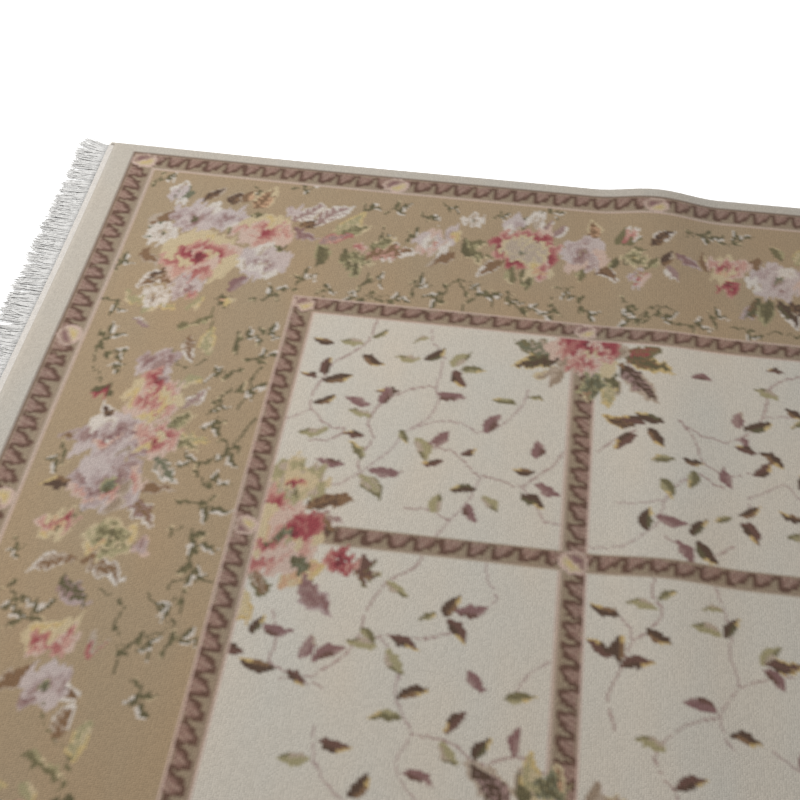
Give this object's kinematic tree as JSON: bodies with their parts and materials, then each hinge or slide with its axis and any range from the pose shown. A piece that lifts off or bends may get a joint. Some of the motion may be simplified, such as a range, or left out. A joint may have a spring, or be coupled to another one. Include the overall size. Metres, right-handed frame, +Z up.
{
  "type": "hand-knotted rug",
  "caption": "Rectangular hand-knotted floral rug with a paneled field, a wide flowered border and a fringe at each end, lying flat with one soft ripple across it.",
  "frame": {"origin": "middle of the whole rug, fringes included, at floor level", "axes": "+X along the rug's length, +Y across it towards the far long side, +Z up out of the pile"},
  "size_m": [2.8734, 1.8414, 0.024],
  "materials": {
    "pile": "cut wool pile, hand-knotted, matt",
    "fringe": "undyed cotton warp ends, loosely twisted, matt"
  },
  "bodies": {
    "root": {"knotted_cloth": "pile", "fringe_left": "fringe", "fringe_right": "fringe"}
  },
  "joints": []
}
